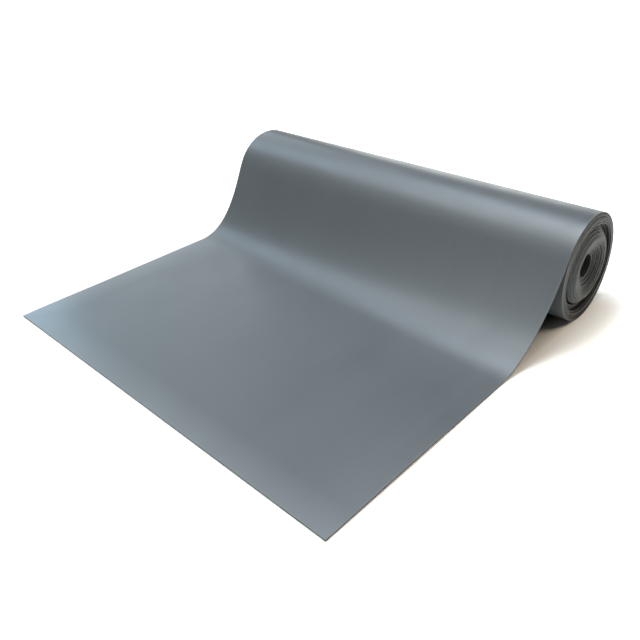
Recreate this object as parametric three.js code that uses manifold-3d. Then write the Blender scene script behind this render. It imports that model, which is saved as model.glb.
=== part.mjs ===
// A roll of anti-static rubber mat, partly unrolled: the sheet comes over the top of the roll,
// drops in an S-bend in front of it and lies flat on the bench. It is one continuous sheet.
// Units are millimetres. X runs along the roll, -Y is the way the sheet is unrolled, +Z is up.

import * as THREE from 'three';
import { mergeVertices } from 'three/addons/utils/BufferGeometryUtils.js';
import Module from 'manifold-3d';

// The sheet
const sheetWidth = 762;
const sheetThickness = 2;

// The turns under the outermost one. They are looser over the axis than under it, so they stand
// a little higher and further back than the outermost turn, and each bundle of turns has slid
// along the roll by its own amount, from the bore outwards.
const boreRadius = 21;
const bodyRadius = 90;
const bodyLift = 1.2;
const bodySetBack = 0.4;
const bundleShifts = [-7, -4.6, -1.7, 1.1, 2.8, 1.5, -3, -8, 0.3, 0.5, -0.4];

// The outermost turn: angles are in degrees, from the back of the roll (+Y) up over its top.
// It works loose from the turn under it before it leaves the roll, more so at the left end.
const leavingAngle = 150;
const looseningAngle = -18;
const looseGap = 6.2;
const looseGapSkew = -2.8;
const buriedAngle = 10;

// The S-bend and the flat stretch. The bend is fuller and reaches further forward at the
// right edge.
const footReach = 149;
const footSkew = 41;
const leavingPull = 56;
const leavingPullSkew = 39;
const footPull = 79;
const flatLength = 392;

// How finely the curves are cut
const turnStep = 5;
const bendSteps = 24;
const widthSteps = 6;

const wasm = await Module();
wasm.setup();

function toSolid(geometry) {
  const bare = geometry.clone();
  bare.deleteAttribute('normal');
  bare.deleteAttribute('uv');
  const merged = mergeVertices(bare, 1e-4);
  const mesh = new wasm.Mesh({
    numProp: 3,
    vertProperties: new Float32Array(merged.getAttribute('position').array),
    triVerts: new Uint32Array(merged.getIndex().array),
  });
  return new wasm.Manifold(mesh);
}

function toGeometry(solid) {
  const mesh = solid.getMesh();
  const geometry = new THREE.BufferGeometry();
  geometry.setAttribute('position', new THREE.BufferAttribute(mesh.vertProperties, 3));
  geometry.setIndex(new THREE.BufferAttribute(mesh.triVerts, 1));
  geometry.computeVertexNormals();
  return geometry;
}

// The wound turns, as one turned solid with the bore through it and stepped ends
function turnedBody() {
  const looseRadius = bodyRadius + bodyLift / 2;
  const bundleWidth = (looseRadius - boreRadius) / bundleShifts.length;
  const rightEnd = [];
  const leftEnd = [];
  bundleShifts.forEach((shift, index) => {
    const inner = boreRadius + index * bundleWidth;
    const outer = inner + bundleWidth;
    rightEnd.push(new THREE.Vector2(inner, sheetWidth / 2 + shift));
    rightEnd.push(new THREE.Vector2(outer, sheetWidth / 2 + shift));
    leftEnd.unshift(new THREE.Vector2(inner, shift - sheetWidth / 2));
    leftEnd.unshift(new THREE.Vector2(outer, shift - sheetWidth / 2));
  });
  const profile = [...leftEnd].reverse().concat([...rightEnd].reverse());
  profile.push(profile[0].clone());
  const halfStep = THREE.MathUtils.degToRad(turnStep / 2);
  const body = new THREE.LatheGeometry(profile, 360 / turnStep, halfStep);
  body.rotateZ(-Math.PI / 2);
  body.translate(0, bodySetBack, bodyLift);
  return body;
}

// The gap under the outermost turn at a given angle, on the section at x
function gapUnderTurn(angle, x) {
  const fullGap = looseGap + looseGapSkew * x / sheetWidth;
  return fullGap * THREE.MathUtils.smoothstep(angle, looseningAngle, leavingAngle);
}

// The sheet's outer face on the section at x, as (y, z) points about the roll's axis
function outerFace(x, floorLevel) {
  const points = [];
  const firstAngle = leavingAngle - 360;
  for (let angle = firstAngle - buriedAngle; angle <= leavingAngle; angle += turnStep) {
    const wound = sheetThickness * (angle - firstAngle) / 360;
    const radius = bodyRadius + wound + gapUnderTurn(angle, x);
    const turned = THREE.MathUtils.degToRad(angle);
    points.push(new THREE.Vector2(radius * Math.cos(turned), radius * Math.sin(turned)));
  }
  const leaving = points[points.length - 1];
  const heading = leaving.clone().sub(points[points.length - 2]).normalize();
  const foot = new THREE.Vector2(
    -(bodyRadius + sheetThickness + footReach + footSkew * x / sheetWidth),
    floorLevel + sheetThickness,
  );
  const bend = new THREE.CubicBezierCurve(
    leaving,
    leaving.clone().addScaledVector(heading, leavingPull + leavingPullSkew * x / sheetWidth),
    foot.clone().add(new THREE.Vector2(footPull, 0)),
    foot,
  );
  points.push(...bend.getPoints(bendSteps).slice(1));
  const frontEdge = -(bodyRadius + sheetThickness + footReach + flatLength);
  points.push(new THREE.Vector2(frontEdge, floorLevel + sheetThickness));
  return points;
}

// The closed outline of the sheet on the section at x: out along its outer face and back along
// the inner one, a sheet's thickness inside it
function sheetOutline(x, floorLevel) {
  const outer = outerFace(x, floorLevel);
  const inner = outer.map((point, index) => {
    const before = outer[Math.max(index - 1, 0)];
    const after = outer[Math.min(index + 1, outer.length - 1)];
    const along = after.clone().sub(before).normalize();
    return new THREE.Vector2(point.x - sheetThickness * along.y, point.y + sheetThickness * along.x);
  });
  return outer.concat(inner.reverse());
}

// The outermost turn, the S-bend and the flat stretch, lofted through sections across the width
function looseSheet(floorLevel) {
  const sections = [];
  for (let step = 0; step <= widthSteps; step += 1) {
    const x = sheetWidth * (step / widthSteps - 0.5);
    sections.push({ x, outline: sheetOutline(x, floorLevel) });
  }
  const positions = [];
  sections.forEach(({ x, outline }) => {
    outline.forEach((point) => positions.push(x, point.x, point.y));
  });

  const count = sections[0].outline.length;
  const faces = [];
  for (let section = 0; section < widthSteps; section += 1) {
    for (let index = 0; index < count; index += 1) {
      const next = (index + 1) % count;
      const left = section * count;
      const right = left + count;
      faces.push(left + index, left + next, right + next);
      faces.push(left + index, right + next, right + index);
    }
  }
  const leftCap = THREE.ShapeUtils.triangulateShape(sections[0].outline, []);
  const rightCap = THREE.ShapeUtils.triangulateShape(sections[widthSteps].outline, []);
  leftCap.forEach(([a, b, c]) => faces.push(c, b, a));
  rightCap.forEach(([a, b, c]) => {
    const base = widthSteps * count;
    faces.push(base + a, base + b, base + c);
  });

  const geometry = new THREE.BufferGeometry();
  geometry.setAttribute('position', new THREE.Float32BufferAttribute(positions, 3));
  geometry.setIndex(faces);
  return geometry;
}

// The roll rests on its outermost turn, so the floor lies at that turn's lowest point
const lowestPoint = Math.min(...outerFace(0, 0).map((point) => point.y));
const matSolid = toSolid(turnedBody()).add(toSolid(looseSheet(lowestPoint)));

const matRubber = new THREE.MeshStandardMaterial({
  color: new THREE.Color(0x6f7a82),
  roughness: 0.55,
  metalness: 0,
});
const mat = new THREE.Mesh(toGeometry(matSolid), matRubber);
mat.name = 'mat';

// The origin is at the bottom centre of the whole
mat.geometry.computeBoundingBox();
const box = mat.geometry.boundingBox;
mat.position.set(
  -(box.min.x + box.max.x) / 2,
  -(box.min.y + box.max.y) / 2,
  -box.min.z,
);

const group = new THREE.Group();
group.add(mat);

export default group;
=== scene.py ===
import bpy
import math
from mathutils import Matrix, Vector


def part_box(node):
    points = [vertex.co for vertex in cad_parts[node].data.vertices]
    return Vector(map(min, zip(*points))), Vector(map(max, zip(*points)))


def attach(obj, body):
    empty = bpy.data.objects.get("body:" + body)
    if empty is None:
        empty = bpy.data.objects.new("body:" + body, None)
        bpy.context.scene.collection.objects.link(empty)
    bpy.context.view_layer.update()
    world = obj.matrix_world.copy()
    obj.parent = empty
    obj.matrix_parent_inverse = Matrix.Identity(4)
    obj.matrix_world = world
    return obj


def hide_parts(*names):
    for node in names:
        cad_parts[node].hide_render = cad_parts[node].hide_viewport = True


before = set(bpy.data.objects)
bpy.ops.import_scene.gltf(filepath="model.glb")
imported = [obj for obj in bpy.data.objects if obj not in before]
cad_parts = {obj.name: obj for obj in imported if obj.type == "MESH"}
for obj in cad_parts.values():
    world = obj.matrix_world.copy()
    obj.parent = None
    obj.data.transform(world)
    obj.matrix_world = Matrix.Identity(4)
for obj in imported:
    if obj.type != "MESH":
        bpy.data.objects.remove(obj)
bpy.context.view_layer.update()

# The mat as it was cut and wound. Metres, and degrees about the roll from its back (+Y) up over its top.
mat = {
    "width": 0.762,
    "length": 12.19,
    "thickness": 0.002,
    "bodyRadius": 0.090,  # to the outside of the last turn but one
    "turnPitch": 0.00201,
    "turnsUnder": 31.9,
    "leavingAngle": 150,
    "looseningAngle": -18,  # from here the outermost turn lifts off the one under it
    "looseGap": 0.0062,
    "looseGapSkew": -0.0028,
    "topLift": 0.0018,  # how far the turns under it rise at the top of the roll
    "wanderUp": -0.0019,  # how far the outermost turn slides along the roll, at its top
    "wanderBack": -0.00095,  # and at its back
    "tuck": 0.004,  # how far the sheet's free end is tucked into the bore
    "tuckTurns": 0.28,
    "deepestShift": 0.008,  # what the CAD ends reach past the sheet's own edge on the left
    "degreesPerRow": 6,
    "rowsInBend": 36,
    "rowsOnFlat": 40,
    "columns": 18,
    "edgeChamfer": 0.00025,
}

bend = {
    "footReach": 0.149,  # from the roll's front to where the sheet meets the bench
    "footSkew": 0.041,  # the right edge lands this much further out
    "leavingPull": 0.056,
    "leavingPullSkew": 0.039,
    "footPull": 0.079,
    "flatLength": 0.392,
}

# How far the turns have slid along the roll, against how many turns in they lie
slide = [
    (5.15, 0.0),
    (5.45, -0.0018),
    (6.15, -0.0022),
    (6.45, -0.0088),
    (8.1, -0.0092),
    (9.8, -0.0070),
    (11.5, -0.0030),
    (13.5, 0.0000),
    (15.4, 0.0023),
    (17.4, 0.0030),
    (19.3, 0.0024),
    (21.3, 0.0010),
    (23.2, -0.0007),
    (25.2, -0.0026),
    (27.1, -0.0046),
    (29.1, -0.0064),
    (30.5, -0.0076),
    (32.0, -0.0080),
]

# The small unevenness of the wound edges: each wave's reach, its waves in a radian, and its start
edgeWaves = [(0.00022, 0.71, 0), (0.00018, 1.37, 1)]

# Turns that are wound loose: how many whole turns in, the side the gap is on, and the gap there
looseTurns = [
    {"turn": 1, "side": 95, "gap": 0.0009},
    {"turn": 2, "side": 165, "gap": 0.0009},
    {"turn": 3, "side": 205, "gap": 0.0007},
    {"turn": 4, "side": 150, "gap": 0.0010},
    {"turn": 5, "side": 200, "gap": 0.0010},
    {"turn": 6, "side": 185, "gap": 0.0010},
    {"turn": 10, "side": 222, "gap": 0.0034},
]

# Places where the flat stretch stands a little off the bench, from its front left corner
swells = [
    {"across": 0.762, "along": 0.170, "wide": 0.16, "long": 0.19, "lift": 0.0016},
    {"across": 0.250, "along": 0.235, "wide": 0.22, "long": 0.12, "lift": 0.0005},
    {"across": 0.000, "along": 0.060, "wide": 0.15, "long": 0.10, "lift": 0.0007},
]


def smooth(low, high, value):
    t = min(max((value - low) / (high - low), 0), 1)
    return t * t * (3 - 2 * t)


def between(table, value):
    for (a, fromValue), (b, toValue) in zip(table, table[1:]):
        if value <= b:
            t = smooth(a, b, value)
            return fromValue + (toValue - fromValue) * t
    return table[-1][1]


outermostStart = mat["leavingAngle"] - 360


def turnsIn(angle):
    return (outermostStart - angle) / 360


def windingRadius(angle, across):
    depth = turnsIn(angle)
    lift = mat["topLift"] * max(math.sin(math.radians(angle)), 0) ** 2 * (1 - smooth(0, 8, depth))
    if depth <= 0:
        radius = mat["bodyRadius"] - depth * mat["thickness"]
        gap = mat["looseGap"] + mat["looseGapSkew"] * across / mat["width"]
        gap *= smooth(mat["looseningAngle"], mat["leavingAngle"], angle)
        return radius + (lift if depth > -0.2 else gap)
    radius = mat["bodyRadius"] + lift - depth * mat["turnPitch"]
    for loose in looseTurns:
        tightSide = (mat["leavingAngle"] - loose["side"] - 180) % 360 / 360
        if depth > loose["turn"] + tightSide:
            radius -= loose["gap"] / 2 * (1 + math.cos(math.radians(angle - loose["side"])))
    freeEnd = mat["turnsUnder"] - depth
    return radius - mat["tuck"] * (1 - smooth(0, mat["tuckTurns"], freeEnd))


def woundPoint(angle, across):
    radius = windingRadius(angle, across)
    depth = turnsIn(angle)
    turned = math.radians(angle)
    wander = mat["wanderUp"] * math.sin(turned) + mat["wanderBack"] * math.cos(turned)
    uneven = sum(reach * math.sin(turned * waves + start) for reach, waves, start in edgeWaves)
    shift = wander * (1 - smooth(0, 2, depth))
    shift += (between(slide, depth) + uneven) * smooth(0, 1, depth)
    return Vector((across + shift, radius * math.cos(turned), radius * math.sin(turned)))


restRadius = -woundPoint(-90, 0).z
cadLow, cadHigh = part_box("mat")
rollAxis = Vector((
    cadLow.x + mat["deepestShift"] + mat["width"] / 2,
    cadHigh.y - woundPoint(0, -mat["width"] / 2).y,
    restRadius,
))

# The camera stands this far from the point on the bench under the middle of the roll's axis
view = {
    "place": (0.7475, -0.9850, 0.6197),
    "yaw": 45.351,
    "pitch": 32.206,
    "roll": -3.067,
    "focalPixels": 664.9,
    "imageWidth": 640,
    "sensorWidth": 36,
}


def placeCamera():
    bpy.ops.object.camera_add()
    camera = bpy.context.object
    camera.name = "camera"
    camera.data.sensor_width = view["sensorWidth"]
    camera.data.lens = view["sensorWidth"] * view["focalPixels"] / view["imageWidth"]
    turn = Matrix.Rotation(math.radians(view["yaw"]), 4, "Z")
    turn = turn @ Matrix.Rotation(math.radians(90 - view["pitch"]), 4, "X")
    turn = turn @ Matrix.Rotation(math.radians(view["roll"]), 4, "Z")
    place = Vector((rollAxis.x, rollAxis.y, 0)) + Vector(view["place"])
    camera.matrix_world = Matrix.Translation(place) @ turn
    bpy.context.scene.camera = camera


placeCamera()
print("camera placed")


def bendPoint(t, across):
    leaving = woundPoint(mat["leavingAngle"], across)
    before = woundPoint(mat["leavingAngle"] - 1, across)
    heading = (leaving - before).normalized()
    leavingPull = bend["leavingPull"] + bend["leavingPullSkew"] * across / mat["width"]
    rollFront = mat["bodyRadius"] + mat["thickness"]
    reach = rollFront + bend["footReach"] + bend["footSkew"] * across / mat["width"]
    foot = Vector((across, -reach, mat["thickness"] - restRadius))
    pulledOut = leaving + heading * leavingPull
    pulledBack = foot + Vector((0, bend["footPull"], 0))
    return (
        leaving * (1 - t) ** 3
        + pulledOut * 3 * (1 - t) ** 2 * t
        + pulledBack * 3 * (1 - t) * t ** 2
        + foot * t ** 3
    )


def flatPoint(t, across):
    foot = bendPoint(1, across)
    frontEdge = -(mat["bodyRadius"] + mat["thickness"] + bend["footReach"] + bend["flatLength"])
    place = Vector((across, foot.y + (frontEdge - foot.y) * t, foot.z))
    for swell in swells:
        aside = (across + mat["width"] / 2 - swell["across"]) / swell["wide"]
        along = (place.y - frontEdge - swell["along"]) / swell["long"]
        away = min(math.hypot(aside, along), 1)
        place.z += swell["lift"] / 2 * (1 + math.cos(math.pi * away))
    return place


def sheetRows():
    # From the front edge back along the sheet to its end in the bore
    rows = [("flat", 1 - i / mat["rowsOnFlat"]) for i in range(mat["rowsOnFlat"])]
    rows += [("bend", 1 - i / mat["rowsInBend"]) for i in range(mat["rowsInBend"])]
    lastAngle = outermostStart - 360 * mat["turnsUnder"]
    windings = int((mat["leavingAngle"] - lastAngle) / mat["degreesPerRow"])
    rows += [("wound", mat["leavingAngle"] - i * mat["degreesPerRow"]) for i in range(windings + 1)]
    return rows


placeOf = {"flat": flatPoint, "bend": bendPoint, "wound": woundPoint}


def makeMat():
    rows = sheetRows()
    bpy.ops.object.select_all(action="DESELECT")
    bpy.ops.mesh.primitive_grid_add(x_subdivisions=mat["columns"], y_subdivisions=len(rows) - 1, size=1)
    sheet = bpy.context.object
    sheet.name = "rubber_mat"
    middle = [placeOf[kind](value, 0) for kind, value in rows]
    runs = [0]
    for a, b in zip(middle, middle[1:]):
        runs.append(runs[-1] + (b - a).length)
    print("sheet length", round(runs[-1], 3), "rows", len(rows))
    uvLayer = sheet.data.uv_layers.active.data
    for loop in sheet.data.loops:
        co = sheet.data.vertices[loop.vertex_index].co
        row = round((co.y + 0.5) * (len(rows) - 1))
        uvLayer[loop.index].uv = ((co.x + 0.5) * mat["width"], runs[row])
    for vertex in sheet.data.vertices:
        row = round((vertex.co.y + 0.5) * (len(rows) - 1))
        across = vertex.co.x * mat["width"]
        kind, value = rows[row]
        vertex.co = rollAxis + placeOf[kind](value, across)
    return sheet


def thicken(sheet):
    outerCount = len(sheet.data.vertices)
    solidify = sheet.modifiers.new("thickness", "SOLIDIFY")
    solidify.thickness = mat["thickness"]
    solidify.offset = -1
    bpy.ops.object.modifier_apply(modifier="thickness")
    depth = sheet.data.attributes.new("depth", "FLOAT", "POINT")
    for vertex in sheet.data.vertices:
        depth.data[vertex.index].value = 0 if vertex.index < outerCount else 1
    chamfer = sheet.modifiers.new("chamfer", "BEVEL")
    chamfer.width = mat["edgeChamfer"]
    chamfer.segments = 1
    chamfer.limit_method = "ANGLE"
    chamfer.angle_limit = math.radians(60)
    bpy.ops.object.modifier_apply(modifier="chamfer")
    bpy.ops.object.shade_smooth_by_angle(angle=math.radians(38))


sheet = makeMat()
thicken(sheet)
print("sheet wound:", len(sheet.data.polygons), "faces")


def addNode(tree, kind, **inputs):
    node = tree.nodes.new(kind)
    for name, value in inputs.items():
        socket = node.inputs[name.replace("_", " ")]
        if isinstance(value, bpy.types.NodeSocket):
            tree.links.new(value, socket)
        else:
            socket.default_value = value
    return node


def newMaterial(name):
    material = bpy.data.materials.new(name)
    material.use_nodes = True
    return material, material.node_tree, material.node_tree.nodes["Principled BSDF"]


def noise(tree, vector, scale, stretch=(1, 1, 1), detail=3):
    mapped = addNode(tree, "ShaderNodeMapping", Vector=vector, Scale=stretch)
    place = mapped.outputs["Vector"]
    return addNode(tree, "ShaderNodeTexNoise", Vector=place, Scale=scale, Detail=detail).outputs[0]


def remap(tree, value, fromLow, fromHigh, toLow, toHigh):
    ranged = addNode(
        tree, "ShaderNodeMapRange",
        Value=value, From_Min=fromLow, From_Max=fromHigh, To_Min=toLow, To_Max=toHigh,
    )
    return ranged.outputs["Result"]


def math2(tree, operation, first, second):
    node = tree.nodes.new("ShaderNodeMath")
    node.operation = operation
    for socket, value in zip(node.inputs, (first, second)):
        if isinstance(value, bpy.types.NodeSocket):
            tree.links.new(value, socket)
        else:
            socket.default_value = value
    return node.outputs[0]


def mixColours(tree, share, first, second):
    node = tree.nodes.new("ShaderNodeMix")
    node.data_type = "RGBA"
    for socket, value in ((node.inputs[0], share), (node.inputs[6], first), (node.inputs[7], second)):
        if isinstance(value, bpy.types.NodeSocket):
            tree.links.new(value, socket)
        else:
            socket.default_value = value
    return node.outputs[2]


def bumpFrom(tree, height, strength, distance, below=None):
    bump = addNode(tree, "ShaderNodeBump", Height=height, Strength=strength, Distance=distance)
    if below:
        tree.links.new(below, bump.inputs["Normal"])
    return bump.outputs["Normal"]


# Lengths in the rubber's pattern are in metres, run along and across the sheet
face = {
    "grey": (0.098, 0.114, 0.124, 1),
    "greyPale": (0.116, 0.132, 0.142, 1),
    "rubbedEdge": (0.165, 0.178, 0.186, 1),
    "lint": (0.30, 0.31, 0.31, 1),
    "roughness": 0.36,
    "edgeRub": 0.0035,
    "paintedReflection": (0.205, 0.232, 0.245, 1),  # painted reflection: a paler, bluish margin along the front edge and the left edge of the flat stretch
    "paintedReflectionMargin": 0.055,
    "leftMarginEnds": (0.36, 0.46),  # how far up the sheet the painted reflection along the left edge fades out
}
cut = {
    "grey": (0.056, 0.057, 0.052, 1),
    "greyPale": (0.102, 0.103, 0.094, 1),
    "black": (0.018, 0.018, 0.018, 1),
    "blackFrom": 0.8,  # where the black layer starts, as a share of the way down
    "blend": 0.04,
}
under = {"black": (0.009, 0.009, 0.010, 1), "dusty": (0.024, 0.024, 0.023, 1)}


def makeFace():
    material, tree, shader = newMaterial("rubber face")
    uv = addNode(tree, "ShaderNodeUVMap").outputs["UV"]
    clouds = noise(tree, uv, 3.5, detail=4)
    streaks = noise(tree, uv, 1, stretch=(170, 2.2, 1), detail=4)
    flecks = noise(tree, uv, 1500, detail=1)
    handling = noise(tree, uv, 14, stretch=(1, 0.6, 1), detail=6)

    tone = remap(tree, clouds, 0.3, 0.7, 0, 0.45)
    tone = math2(tree, "ADD", tone, remap(tree, streaks, 0.3, 0.7, 0, 0.3))
    tone = math2(tree, "ADD", tone, remap(tree, flecks, 0.3, 0.7, 0, 0.25))
    colour = mixColours(tree, tone, face["grey"], face["greyPale"])

    across = addNode(tree, "ShaderNodeSeparateXYZ", Vector=uv)
    fromRight = math2(tree, "SUBTRACT", mat["width"], across.outputs["X"])
    fromSide = math2(tree, "MINIMUM", across.outputs["X"], fromRight)
    fromEdge = math2(tree, "MINIMUM", fromSide, across.outputs["Y"])
    rubbed = remap(tree, fromEdge, 0, face["edgeRub"], 0.8, 0)
    rubbed = math2(tree, "MULTIPLY", rubbed, remap(tree, handling, 0.35, 0.65, 0.2, 1))
    colour = mixColours(tree, rubbed, colour, face["rubbedEdge"])

    # painted reflection: the colour pales towards the front edge and the left edge of the flat stretch
    fromFront = remap(tree, across.outputs["Y"], 0, face["paintedReflectionMargin"], 1, 0)
    fromLeft = remap(tree, across.outputs["X"], 0, face["paintedReflectionMargin"], 1.2, 0)
    fadeFrom, fadeTo = face["leftMarginEnds"]
    onFlat = remap(tree, across.outputs["Y"], fadeFrom, fadeTo, 1, 0)
    paintedReflectionMargin = math2(tree, "MAXIMUM", fromFront, math2(tree, "MULTIPLY", fromLeft, onFlat))
    paintedReflectionMargin = math2(tree, "MULTIPLY", paintedReflectionMargin, remap(tree, clouds, 0.3, 0.7, 0.4, 0.65))
    colour = mixColours(tree, paintedReflectionMargin, colour, face["paintedReflection"])

    specks = tree.nodes.new("ShaderNodeTexVoronoi")
    tree.links.new(uv, specks.inputs["Vector"])
    specks.inputs["Scale"].default_value = 34
    lint = remap(tree, specks.outputs["Distance"], 0.012, 0.022, 0.5, 0)
    colour = mixColours(tree, lint, colour, face["lint"])
    tree.links.new(colour, shader.inputs["Base Color"])

    scuffs = noise(tree, uv, 1, stretch=(26, 210, 1), detail=2)
    scuffs = remap(tree, scuffs, 0.66, 0.74, 0, 1)
    scuffs = math2(tree, "MULTIPLY", scuffs, remap(tree, handling, 0.45, 0.6, 0, 1))
    rough = math2(tree, "ADD", face["roughness"], remap(tree, handling, 0.3, 0.7, -0.03, 0.05))
    rough = math2(tree, "ADD", rough, remap(tree, streaks, 0.3, 0.7, -0.02, 0.02))
    rough = math2(tree, "SUBTRACT", rough, math2(tree, "MULTIPLY", scuffs, 0.05))
    tree.links.new(rough, shader.inputs["Roughness"])
    shader.inputs["Specular IOR Level"].default_value = 0.5

    rollers = noise(tree, uv, 1, stretch=(1.5, 22, 1), detail=2)
    peel = noise(tree, uv, 240, detail=2)
    normal = bumpFrom(tree, rollers, 0.35, 0.00035)
    normal = bumpFrom(tree, streaks, 0.25, 0.00006, below=normal)
    normal = bumpFrom(tree, peel, 0.30, 0.00004, below=normal)
    normal = bumpFrom(tree, flecks, 0.35, 0.00003, below=normal)
    tree.links.new(normal, shader.inputs["Normal"])
    return material


def makeCut():
    material, tree, shader = newMaterial("cut edge")
    place = addNode(tree, "ShaderNodeTexCoord").outputs["Object"]
    depth = tree.nodes.new("ShaderNodeAttribute")
    depth.attribute_name = "depth"
    grain = noise(tree, place, 700, detail=3)
    knife = noise(tree, place, 60, stretch=(0.2, 1, 1), detail=5)
    tone = remap(tree, knife, 0.3, 0.7, 0, 0.6)
    tone = math2(tree, "ADD", tone, remap(tree, grain, 0.3, 0.7, 0, 0.4))
    grey = mixColours(tree, tone, cut["grey"], cut["greyPale"])
    blackStart = cut["blackFrom"] - cut["blend"]
    blackFull = cut["blackFrom"] + cut["blend"]
    inBlack = remap(tree, depth.outputs["Fac"], blackStart, blackFull, 0, 1)
    tree.links.new(mixColours(tree, inBlack, grey, cut["black"]), shader.inputs["Base Color"])
    tree.links.new(remap(tree, knife, 0.3, 0.7, 0.5, 0.68), shader.inputs["Roughness"])
    normal = bumpFrom(tree, knife, 0.4, 0.0002)
    normal = bumpFrom(tree, grain, 0.5, 0.00006, below=normal)
    tree.links.new(normal, shader.inputs["Normal"])
    return material


def makeUnderside():
    material, tree, shader = newMaterial("black underside")
    uv = addNode(tree, "ShaderNodeUVMap").outputs["UV"]
    dust = noise(tree, uv, 18, detail=6)
    grain = noise(tree, uv, 900, detail=2)
    dusty = remap(tree, dust, 0.4, 0.75, 0, 1)
    dusty = math2(tree, "MULTIPLY", dusty, remap(tree, grain, 0.3, 0.7, 0.4, 1))
    tree.links.new(mixColours(tree, dusty, under["black"], under["dusty"]), shader.inputs["Base Color"])
    tree.links.new(remap(tree, dust, 0.3, 0.7, 0.58, 0.72), shader.inputs["Roughness"])
    tree.links.new(bumpFrom(tree, grain, 0.5, 0.00008), shader.inputs["Normal"])
    return material


def paintMat():
    # A face whose corners all lie at depth 0 is on the grey side, at depth 1 on the black one
    for material in (makeFace(), makeCut(), makeUnderside()):
        sheet.data.materials.append(material)
    depth = sheet.data.attributes["depth"].data
    for polygon in sheet.data.polygons:
        mean = sum(depth[v].value for v in polygon.vertices) / len(polygon.vertices)
        if mean > 0.001:
            polygon.material_index = 2 if mean > 0.999 else 1


paintMat()
print("mat painted")
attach(sheet, "root")
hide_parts("mat")

# Painted shade: the floor's colour is dark under the mat. Painted light: the floor glows just past its
# outline, which keeps the shadow small
ground = {
    "size": 30,
    "outline": (0.38, 0.36),  # half the mat's width and length
    "white": (0.95, 0.94, 0.90, 1),
    "paintedShade": (0.05, 0.05, 0.05, 1),
    "paintedShadeUntil": (-0.04, 0.005),  # past the outline
    "paintedGlow": (0.96, 1, 1, 1),
    "paintedGlowFrom": (0, 0.075),
    "paintedGlowStrength": 0.6,
}


def pastOutline(tree):
    place = addNode(tree, "ShaderNodeTexCoord").outputs["Object"]
    apart = addNode(tree, "ShaderNodeSeparateXYZ", Vector=place)
    halfWidth, halfLength = ground["outline"]
    pastX = math2(tree, "SUBTRACT", math2(tree, "ABSOLUTE", apart.outputs["X"], 0), halfWidth)
    pastY = math2(tree, "SUBTRACT", math2(tree, "ABSOLUTE", apart.outputs["Y"], 0), halfLength)
    return math2(tree, "MAXIMUM", pastX, pastY)


def makeGround():
    material, tree, shader = newMaterial("floor with painted shade and glow")
    shader.inputs["Roughness"].default_value = 1
    shader.inputs["Specular IOR Level"].default_value = 0
    past = pastOutline(tree)
    # painted shade: the floor's colour turns dark under the mat's outline
    outsidePaintedShade = remap(tree, past, *ground["paintedShadeUntil"], 0, 1)
    tree.links.new(mixColours(tree, outsidePaintedShade, ground["paintedShade"], ground["white"]), shader.inputs["Base Color"])
    # painted light: the floor glows just past the mat's outline
    shader.inputs["Emission Color"].default_value = ground["paintedGlow"]
    paintedGlow = remap(tree, past, *ground["paintedGlowFrom"], 0, ground["paintedGlowStrength"])
    tree.links.new(paintedGlow, shader.inputs["Emission Strength"])
    return material


bpy.ops.mesh.primitive_plane_add(size=ground["size"], location=(0, 0, 0))
floor = bpy.context.object
floor.name = "floor"
floor.data.materials.append(makeGround())

# Each sun is a large soft lamp far off, in degrees round from +X and up from the floor
suns = [
    {"name": "rear strip", "round": 120, "up": 9, "strength": 0.32, "colour": (0.97, 1.00, 0.97)},
    {"name": "rear left", "round": 150, "up": 24, "strength": 0.27, "colour": (0.87, 1.00, 1.10)},
    {"name": "left", "round": 180, "up": 44, "strength": 0.44, "colour": (0.76, 1.02, 1.26)},
    {"name": "front left", "round": 238, "up": 44, "strength": 0.19, "colour": (1.00, 1.00, 0.93)},
    {"name": "overhead right", "round": 8, "up": 64, "strength": 1.05, "colour": (1.16, 0.98, 0.80)},
    {"name": "overhead rear", "round": 150, "up": 64, "strength": 0.82, "colour": (0.86, 1.01, 1.16)},
    {"name": "overhead left", "round": 210, "up": 64, "strength": 0.96, "colour": (0.94, 1.01, 1.05)},
]
sunSoftness = 24
sunDistance = 4
softboxes = [
    {
        "name": "left box",
        "place": (-0.80, -0.25, 0.24),
        "faces": (-0.36, -0.36, 0),
        "size": 0.26,
        "watts": 0.065,
        "spread": 60,
        "colour": (0.62, 1.00, 1.30),
    },
    {
        "name": "roll box",
        "place": (0.05, 0.26, 0.95),
        "faces": (0.30, 0.22, 0.16),
        "size": 0.28,
        "watts": 1.6,
        "spread": 180,
        "colour": (0.97, 1.00, 1.04),
    },
]
roomLight = {"colour": (1, 1, 1, 1), "strength": 0.14}


def addSun(lamp):
    up, around = math.radians(lamp["up"]), math.radians(lamp["round"])
    way = Vector((math.cos(around) * math.cos(up), math.sin(around) * math.cos(up), math.sin(up)))
    turn = way.to_track_quat("Z", "Y").to_euler()
    bpy.ops.object.light_add(type="SUN", location=way * sunDistance, rotation=turn)
    sun = bpy.context.object
    sun.name = lamp["name"]
    sun.data.angle = math.radians(sunSoftness)
    sun.data.energy = lamp["strength"]
    sun.data.color = lamp["colour"]


def addSoftbox(lamp):
    place = Vector(lamp["place"])
    turn = (place - Vector(lamp["faces"])).to_track_quat("Z", "Y").to_euler()
    bpy.ops.object.light_add(type="AREA", location=place, rotation=turn)
    box = bpy.context.object
    box.name = lamp["name"]
    box.data.size = lamp["size"]
    box.data.energy = lamp["watts"]
    box.data.spread = math.radians(lamp["spread"])
    box.data.color = lamp["colour"]
    box.visible_camera = False


for lamp in suns:
    addSun(lamp)
for lamp in softboxes:
    addSoftbox(lamp)

world = bpy.data.worlds.new("studio")
bpy.context.scene.world = world
world.use_nodes = True
background = world.node_tree.nodes["Background"]
background.inputs["Color"].default_value = roomLight["colour"]
background.inputs["Strength"].default_value = roomLight["strength"]
bpy.context.scene.view_settings.view_transform = "Standard"
print("studio lit")
